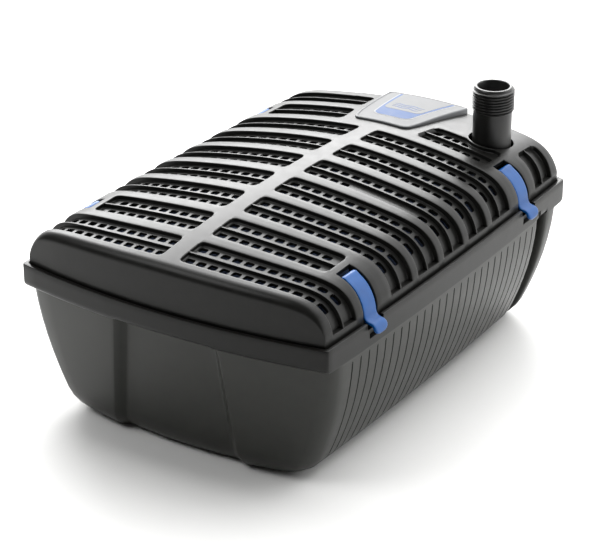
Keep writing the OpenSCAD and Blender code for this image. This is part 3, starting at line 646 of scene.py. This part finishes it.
def apply_modifiers(piece):
    dg = bpy.context.evaluated_depsgraph_get()
    mesh = bpy.data.meshes.new_from_object(piece.evaluated_get(dg))
    piece.modifiers.clear()
    piece.data = mesh
    mesh.shade_smooth()
    mesh.set_sharp_from_angle(angle=math.radians(38))


# ---- Label ----
LABEL_FRONT, LABEL_HALF, LABEL_CORNER = 105.4 * MM, (25.5 * MM, 37.5 * MM), 7.5 * MM
LABEL_FACE = 1.15 * MM
LABEL_BACK, LABEL_BACK_R = 1.5 * MM, 5 * MM
LABEL_RISE = 0.035  # how much less than the lid the plate falls towards the back
LABEL_FOLLOW = 0.75  # share of the lid's rounded rear edge that the plate follows


def label_half(y):
    back = end_y(30 * MM, 1)
    return LABEL_HALF[0] + (LABEL_HALF[1] - LABEL_HALF[0]) * (y - LABEL_FRONT) / (back - LABEL_FRONT)


def label_outline(grow):
    """Right half of the label's outline from the front's middle to the back's middle, grown outward."""
    r = LABEL_CORNER
    points = [(f * (LABEL_HALF[0] - r), LABEL_FRONT - grow) for f in (0, 0.25, 0.5, 0.75, 1)]
    for k in range(1, 9):
        t = math.radians(84 * k / 8)
        points.append((LABEL_HALF[0] - r + (r + grow) * math.sin(t), LABEL_FRONT + r - (r + grow) * math.cos(t)))
    y1 = end_y(LABEL_HALF[1], 1) - LABEL_BACK - LABEL_BACK_R
    for k in range(1, 9):
        y = LABEL_FRONT + r + (y1 - LABEL_FRONT - r) * k / 8
        points.append((label_half(y) + grow, y))
    x1 = label_half(y1) + grow
    for k in range(1, 6):
        t = math.radians(90 * k / 5)
        points.append((x1 - LABEL_BACK_R * (1 - math.cos(t)), y1 + (LABEL_BACK_R + grow) * math.sin(t)))
    corner_x = points[-1][0]
    lift = points[-1][1] - end_y(corner_x, 1)
    for k in range(1, 7):
        x = corner_x * (1 - k / 6)
        points.append((x, end_y(x, 1) + lift))
    return points


def label_z(x, y, high):
    """Height over the lid, which drops past the start of its rounded rear edge."""
    y_flat = min(y, end_y(x, 1) - EDGE_R)
    z = arch_point(abs(x), y_flat)[1]
    past = max(y - y_flat, 0)
    high += LABEL_RISE * (y - LABEL_FRONT) if high > 0 else 0
    return z + high - (EDGE_R - math.sqrt(max(EDGE_R**2 - past**2, 0))) * LABEL_FOLLOW


def make_label():
    levels = [(0.4, -1.2), (0.3, 0.7), (0.0, 1.3), (-0.6, 1.6), (-1.7, 1.6), (-2.1, 1.25), (-2.8, 1.15)]
    loops = []
    for grow, high in levels:
        half = label_outline(grow * MM)
        loop = half + [(-x, y) for x, y in reversed(half[1:-1])]
        loops.append([(x, y, label_z(x, y, high * MM)) for x, y in loop])
    face = loops[-1]
    for f in (0.85, 0.68, 0.5, 0.33, 0.17, 0):
        ring = []
        for x, y, _ in face:
            my = min(max(y, LABEL_FRONT + 26 * MM), 160 * MM)
            px, py = x * f, my + (y - my) * f
            ring.append((px, py, label_z(px, py, LABEL_FACE)))
        loops.append(ring)
    n = len(face)
    points = [p for loop in loops for p in loop]
    faces = [[k * n + j, k * n + (j + 1) % n, (k + 1) * n + (j + 1) % n, (k + 1) * n + j]
             for k in range(len(loops) - 1) for j in range(n)]
    faces.append(list(range(n)))
    return mesh_object("label_badge", points, faces, weld=0.02 * MM, sharp=40)


def make_print(name, y0, widths, corner, level):
    """A printed field on the label from y0 to near its back, as a thin film that follows the face."""
    back = end_y(20 * MM, 1) - 7 * MM
    steps = [corner * (1 - math.cos(math.pi / 2 * k / 6)) for k in range(7)]
    steps += [corner + (back - y0 - corner) * k / 10 for k in range(1, 11)]
    columns = 16
    points, faces = [], []
    for step in steps:
        cut = corner - math.sqrt(max(corner**2 - max(corner - step, 0) ** 2, 0))
        half = widths[0] + (widths[1] - widths[0]) * step / (back - y0) - cut
        for c in range(columns + 1):
            x = half * (2 * c / columns - 1)
            y = y0 + step
            points += [(x, y, label_z(x, y, LABEL_FACE + high)) for high in (-0.05 * MM, level)]
    n = 2 * (columns + 1)
    for r in range(len(steps) - 1):
        for c in range(columns):
            a = r * n + 2 * c
            faces += [[a, a + 2, a + n + 2, a + n], [a + 1, a + n + 1, a + n + 3, a + 3]]
        for a, b in ((r * n, r * n + 1), ((r + 1) * n - 1, (r + 1) * n - 2)):
            faces.append([a, b, b + n, a + n])
    last = (len(steps) - 1) * n
    for c in range(columns):
        for a in (2 * c, last + 2 * c):
            faces.append([a, a + 1, a + 3, a + 2])
    return mesh_object(name, points, faces, weld=0.002 * MM)


def make_wave(name, y0, half, height, colour_width, level):
    """A wavy stripe printed on the label, as a thin raised film."""
    n = 40
    points, faces = [], []
    for k in range(n + 1):
        x = half * (2 * k / n - 1)
        taper = math.sqrt(max(1 - (2 * k / n - 1) ** 2, 0))
        y = y0 + height * math.sin(4 * math.pi * k / n)
        for edge in (-1, 1):
            py = y + edge * colour_width / 2 * (0.15 + 0.85 * taper)
            for high in (-0.05 * MM, level):
                points.append((x, py, label_z(x, py, LABEL_FACE + high)))
    for k in range(n):
        a, b = 4 * k, 4 * (k + 1)
        for i, j in ((0, 1), (1, 3), (3, 2), (2, 0)):
            faces.append([a + i, a + j, b + j, b + i])
    faces += [[0, 1, 3, 2], [4 * n, 4 * n + 2, 4 * n + 3, 4 * n + 1]]
    return mesh_object(name, points, faces)


# ---- Outlet ----
THREAD_PITCH, THREAD_CREST, THREAD_ROOT = 2.309 * MM, 16.62 * MM, 15.15 * MM
STUB_R, BORE_R = 15.2 * MM, 12 * MM
THREAD_Z = (176.2 * MM, 194.6 * MM)


def thread_radius(z, turn):
    """A parallel pipe thread's rounded profile, which runs out into the plain stub at both ends."""
    phase = ((z - THREAD_Z[0]) / THREAD_PITCH - turn) % 1
    form = 0.5 - 0.5 * math.cos(2 * math.pi * phase)
    form = min(max(1.35 * (form - 0.5) + 0.5, 0), 1)
    ends = smooth((z - THREAD_Z[0]) / (1.6 * MM)) * smooth((THREAD_Z[1] - z) / (1.2 * MM))
    return THREAD_ROOT + (THREAD_CREST - THREAD_ROOT) * form * ends


def make_stub():
    turns = 96
    top = STUB_HIGH.z
    z_flange = STUB_LOW.z
    profile = [(BORE_R, z_flange), (STUB_R + 3 * MM, z_flange), (STUB_R + 3 * MM, z_flange + 3.6 * MM),
               (STUB_R + 2.6 * MM, z_flange + 4 * MM), (STUB_R + 0.6 * MM, z_flange + 4 * MM),
               (STUB_R, z_flange + 4.8 * MM), (STUB_R, 160 * MM), (STUB_R, THREAD_Z[0] - 0.4 * MM)]
    count = round((THREAD_Z[1] - THREAD_Z[0]) / (THREAD_PITCH / 12))
    profile += [(None, THREAD_Z[0] + (THREAD_Z[1] - THREAD_Z[0]) * k / count) for k in range(count + 1)]
    profile += [(THREAD_ROOT, top - 1.5 * MM), (15 * MM, top - 0.9 * MM), (14.3 * MM, top - 0.1 * MM),
                (13.9 * MM, top), (13 * MM, top), (12.6 * MM, top - 0.2 * MM), (BORE_R, top - 1.4 * MM)]
    points, faces = [], []
    for radius, z in profile:
        for j in range(turns):
            t = 2 * math.pi * j / turns
            r = thread_radius(z, j / turns) if radius is None else radius
            points.append((OUTLET[0] + r * math.cos(t), OUTLET[1] + r * math.sin(t), z))
    rows = len(profile)
    for k in range(rows):
        for j in range(turns):
            i, nxt = (j + 1) % turns, (k + 1) % rows
            faces.append([k * turns + j, k * turns + i, nxt * turns + i, nxt * turns + j])
    return mesh_object("outlet_pipe", points, faces, sharp=30)


# ---- Foam ----
def make_foam(name, node, cell):
    """An open-cell foam block: the CAD solid remeshed, softened and pitted."""
    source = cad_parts[node]
    foam = bpy.data.objects.new(name, source.data.copy())
    bpy.context.scene.collection.objects.link(foam)
    foam.data.materials.clear()
    remesh = foam.modifiers.new("cells", "REMESH")
    remesh.mode = "VOXEL"
    remesh.voxel_size = cell
    soften = foam.modifiers.new("soften", "SMOOTH")
    soften.iterations = 4
    apply_modifiers(foam)
    for v in foam.data.vertices:
        pit = noise.noise(v.co / (3.4 * MM)) * 0.55 + noise.noise(v.co / (24 * MM)) * 0.7
        v.co += v.normal * (pit * 0.9 * MM - 0.9 * MM)
    return foam


# ---- Materials ----
def finish(name, dark, light, rough=(0.35, 0.45), cell=9 * MM, grain=0.5 * MM, bump=0.06, metallic=0.0,
           speckle=0.0, sheen=0.0, transmission=0.0, coat=0.0, specular=0.5):
    """A moulded or cast surface: cloudy colour, uneven gloss and a fine grain."""
    made = bpy.data.materials.new(name)
    made.use_nodes = True
    tree = made.node_tree
    shader = tree.nodes["Principled BSDF"]
    link = tree.links.new

    def add(kind, **inputs):
        node = tree.nodes.new(kind)
        for key, value in inputs.items():
            node.inputs[key.replace("_", " ")].default_value = value
        return node

    place = add("ShaderNodeTexCoord").outputs["Object"]
    cloud = add("ShaderNodeTexNoise", Scale=1 / cell, Detail=4.0, Roughness=0.55)
    fine = add("ShaderNodeTexNoise", Scale=1 / grain, Detail=3.0, Roughness=0.6)
    link(place, cloud.inputs["Vector"])
    link(place, fine.inputs["Vector"])
    ramp = tree.nodes.new("ShaderNodeValToRGB")
    ramp.color_ramp.elements[0].position, ramp.color_ramp.elements[1].position = 0.3, 0.7
    ramp.color_ramp.elements[0].color = (*dark, 1)
    ramp.color_ramp.elements[1].color = (*light, 1)
    mixed = tree.nodes.new("ShaderNodeMath")
    mixed.operation = "MULTIPLY_ADD"
    mixed.inputs[1].default_value = 0.35 + speckle
    link(fine.outputs["Fac"], mixed.inputs[0])
    scaled = tree.nodes.new("ShaderNodeMath")
    scaled.operation = "MULTIPLY_ADD"
    scaled.inputs[1].default_value = 0.65 - speckle
    scaled.inputs[2].default_value = 0.0
    link(cloud.outputs["Fac"], scaled.inputs[0])
    link(scaled.outputs[0], mixed.inputs[2])
    link(mixed.outputs[0], ramp.inputs["Fac"])
    link(ramp.outputs["Color"], shader.inputs["Base Color"])
    gloss = tree.nodes.new("ShaderNodeMapRange")
    gloss.inputs["From Min"].default_value, gloss.inputs["From Max"].default_value = 0.3, 0.7
    gloss.inputs["To Min"].default_value, gloss.inputs["To Max"].default_value = rough
    link(mixed.outputs[0], gloss.inputs["Value"])
    link(gloss.outputs["Result"], shader.inputs["Roughness"])
    relief = add("ShaderNodeBump", Strength=bump, Distance=0.3 * MM)
    link(fine.outputs["Fac"], relief.inputs["Height"])
    link(relief.outputs["Normal"], shader.inputs["Normal"])
    shader.inputs["Metallic"].default_value = metallic
    shader.inputs["Sheen Weight"].default_value = sheen
    shader.inputs["Transmission Weight"].default_value = transmission
    shader.inputs["Coat Weight"].default_value = coat
    shader.inputs["Specular IOR Level"].default_value = specular
    return made


MATERIALS = {
    "lid_grey": finish("lid_grey", (0.006, 0.006, 0.0055), (0.010, 0.010, 0.009), (0.30, 0.38), grain=0.35 * MM,
                       bump=0.05, specular=0.2),
    "tub_grey": finish("tub_grey", (0.013, 0.0135, 0.011), (0.019, 0.0195, 0.016), (0.33, 0.43), grain=0.4 * MM,
                       bump=0.05, specular=0.35),
    "clip_blue": finish("clip_blue", (0.001, 0.062, 0.235), (0.002, 0.080, 0.30), (0.3, 0.4), grain=0.5 * MM,
                        bump=0.03, specular=0.3),
    "stub_black": finish("stub_black", (0.007, 0.007, 0.007), (0.012, 0.012, 0.011), (0.33, 0.42), grain=0.4 * MM),
    "black_moulding": finish("black_moulding", (0.014, 0.014, 0.014), (0.024, 0.024, 0.023), (0.38, 0.5)),
    "white_moulding": finish("white_moulding", (0.62, 0.61, 0.57), (0.72, 0.71, 0.67), (0.35, 0.45)),
    "label_silver": finish("label_silver", (0.10, 0.103, 0.106), (0.12, 0.123, 0.126), (0.4, 0.5), cell=6 * MM,
                           bump=0.02, specular=0.15),
    "label_rim": finish("label_rim", (0.05, 0.055, 0.06), (0.07, 0.075, 0.08), (0.35, 0.45), bump=0.03),
    "label_white": finish("label_white", (0.19, 0.195, 0.20), (0.22, 0.225, 0.23), (0.4, 0.5), bump=0.02,
                          specular=0.15),
    "label_print": finish("label_print", (0.008, 0.045, 0.15), (0.012, 0.06, 0.19), (0.4, 0.5), bump=0.02,
                          specular=0.12),
    "foam_blue": finish("foam_blue", (0.006, 0.016, 0.05), (0.02, 0.05, 0.13), (0.85, 0.95), cell=5 * MM,
                        grain=1.4 * MM, bump=0.9, speckle=0.3, sheen=0.15),
    "foam_maroon": finish("foam_maroon", (0.05, 0.012, 0.022), (0.16, 0.04, 0.07), (0.85, 0.95), cell=5 * MM,
                          grain=1.2 * MM, bump=0.9, speckle=0.3, sheen=0.15),
    "media_blue": finish("media_blue", (0.02, 0.09, 0.28), (0.035, 0.14, 0.38), (0.35, 0.5)),
    "seal_rubber": finish("seal_rubber", (0.008, 0.008, 0.008), (0.016, 0.016, 0.016), (0.55, 0.7), grain=0.3 * MM),
    "ceramic": finish("ceramic", (0.78, 0.77, 0.72), (0.86, 0.85, 0.81), (0.12, 0.22), bump=0.01, coat=0.3),
    "magnet": finish("magnet", (0.03, 0.03, 0.035), (0.05, 0.05, 0.055), (0.4, 0.55), grain=0.4 * MM, metallic=0.3),
    "steel": finish("steel", (0.50, 0.50, 0.50), (0.62, 0.62, 0.61), (0.2, 0.34), grain=0.3 * MM, metallic=1.0),
    "quartz": finish("quartz", (0.80, 0.86, 0.90), (0.88, 0.93, 0.96), (0.02, 0.06), bump=0.01, transmission=0.9),
    "lamp_glass": finish("lamp_glass", (0.74, 0.78, 0.82), (0.84, 0.88, 0.92), (0.08, 0.16), bump=0.01, coat=0.4),
}


# The record's material slot of each CAD node.
NODE_SLOTS = {node: slot for slot, nodes in {
    "black_moulding": "partition support_grid_front support_grid_rear pump_housing pump_volute"
        " bearing_plate inlet_cage pump_cradle union_nut uvc_housing uvc_cap uvc_saddles cable_gland"
        " gland_nut",
    "media_blue": "bio_balls",
    "steel": "volute_screws clip_pins",
    "seal_rubber": "volute_seal cradle_pads outlet_gasket uvc_seal gland_seal",
    "ceramic": "bearing_front bearing_rear rotor_shaft",
    "magnet": "rotor_magnet",
    "white_moulding": "impeller lamp_socket",
    "quartz": "quartz_sleeve",
    "lamp_glass": "uvc_lamp",
}.items() for node in nodes.split()}


def paint(piece, *names):
    piece.data.materials.clear()
    for name in names:
        piece.data.materials.append(MATERIALS[name])


def add_piece(piece, body, slot, *nodes, paints=None):
    paint(piece, *(paints or [slot]))
    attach(piece, body)
    if nodes:
        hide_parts(*nodes)
    return piece


# ---- The object ----
add_piece(make_lid(), "lid", "lid_grey", "lid")
tub = add_piece(make_tub(), "tub", "tub_grey", "tub", paints=["tub_grey", "lid_grey"])
# Painted shade: faces above the band's foot get the lid's darker colour, standing in for the dark reflections on
# the band.
for face in tub.data.polygons:
    face.material_index = 1 if face.center.z > BAND_Z else 0  # painted shade: the rim band takes the darker lid colour for the dark it reflects
for end, clip_y in CLIP_YS.items():
    for side, hand in ((1, "right"), (-1, "left")):
        node = f"clip_{end}_{hand}"
        add_piece(make_clip(f"latch_{end}_{hand}", side, clip_y), node, "clip_blue", node)
label = add_piece(make_label(), "lid", "label_silver", "label_plate", paints=["label_silver", "label_rim"])
for face in label.data.polygons:
    face.material_index = 1 if face.normal.z < 0.9 else 0
# Name, front edge behind the label's own, half widths in front and behind, corner radius, height, colour; in mm
PRINTS = (("white_line", 14.6, (16.6, 26.2), 7.5, 0.08, "label_white"),
          ("blue_field", 15.8, (15.4, 25), 6.5, 0.16, "label_print"),
          ("inner_field", 33, (16.2, 22.6), 5, 0.24, "label_silver"))
FOAM_CELL = 3.2 * MM
for name, front, widths, corner, level, colour in PRINTS:
    film = make_print("label_" + name, LABEL_FRONT + front * MM, [w * MM for w in widths], corner * MM, level * MM)
    add_piece(film, "lid", "label_silver", paints=[colour])
for k in range(3):
    wave = make_wave(f"label_wave_{k + 1}", (145 + 4 * k) * MM, (12 + k) * MM, 0.8 * MM, 1.4 * MM, 0.3 * MM)
    add_piece(wave, "lid", "label_silver", paints=["label_print"])
add_piece(make_stub(), "tub", "stub_black", "outlet_stub")
for name, slot in (("foam_front", "foam_blue"), ("foam_rear", "foam_blue"), ("foam_fine", "foam_maroon")):
    foam = add_piece(make_foam(name + "_block", name, FOAM_CELL), "tub", slot, name)

for name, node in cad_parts.items():
    if not node.hide_render:
        paint(node, NODE_SLOTS[name])

# ---- Studio ----
bpy.ops.mesh.primitive_plane_add(size=6)
floor = bpy.context.object
floor.name = "floor"
floor.data.materials.append(finish("floor_white", (0.86, 0.86, 0.85), (0.88, 0.88, 0.87), (0.8, 0.9),
                                  cell=0.5, grain=0.05, bump=0.0))

world = bpy.data.worlds.new("studio")
bpy.context.scene.view_settings.view_transform = "Standard"
bpy.context.scene.world = world
world.use_nodes = True
sky = world.node_tree
background = sky.nodes["Background"]
direction = sky.nodes.new("ShaderNodeTexCoord")
split = sky.nodes.new("ShaderNodeSeparateXYZ")
sky.links.new(direction.outputs["Generated"], split.inputs[0])
ramp = sky.nodes.new("ShaderNodeMapRange")
ramp.inputs["From Min"].default_value, ramp.inputs["From Max"].default_value = -0.1, 0.55
ramp.inputs["To Min"].default_value, ramp.inputs["To Max"].default_value = 0.05, 2.6
sky.links.new(split.outputs["Y"], ramp.inputs["Value"])
sky.links.new(ramp.outputs["Result"], background.inputs["Strength"])
background.inputs["Color"].default_value = (1, 1, 1, 1)


def softbox(name, place, aim, size, power):
    light = bpy.data.objects.new(name, bpy.data.lights.new(name, "AREA"))
    light.data.shape = "RECTANGLE"
    light.data.size, light.data.size_y = size
    light.data.energy = power
    light.location = place
    light.rotation_mode = "QUATERNION"
    light.rotation_quaternion = (Vector(aim) - Vector(place)).to_track_quat("-Z", "Y")
    bpy.context.scene.collection.objects.link(light)


softbox("top_box", (0.1, 0.55, 1.6), (0.1, 0.2, 0), (2.4, 1.5), 24)
softbox("front_box", (-0.73, -0.9, 1.35), (0, -0.15, 0.13), (0.9, 0.8), 10)
softbox("back_box", (-1.15, 1.35, 1.08), (-0.05, -0.1, 0.14), (1.6, 1.0), 46)

camera = bpy.data.objects.new("camera", bpy.data.cameras.new("camera"))
bpy.context.scene.collection.objects.link(camera)
bpy.context.scene.camera = camera
camera.data.sensor_width, camera.data.sensor_fit = 36, "HORIZONTAL"
camera.data.lens = 130.93
camera.location = (0.8083, -1.2782, 0.7876)
camera.rotation_mode = "QUATERNION"
camera.rotation_quaternion = Vector((-0.4855, 0.7611, -0.4301)).to_track_quat("-Z", "Y")
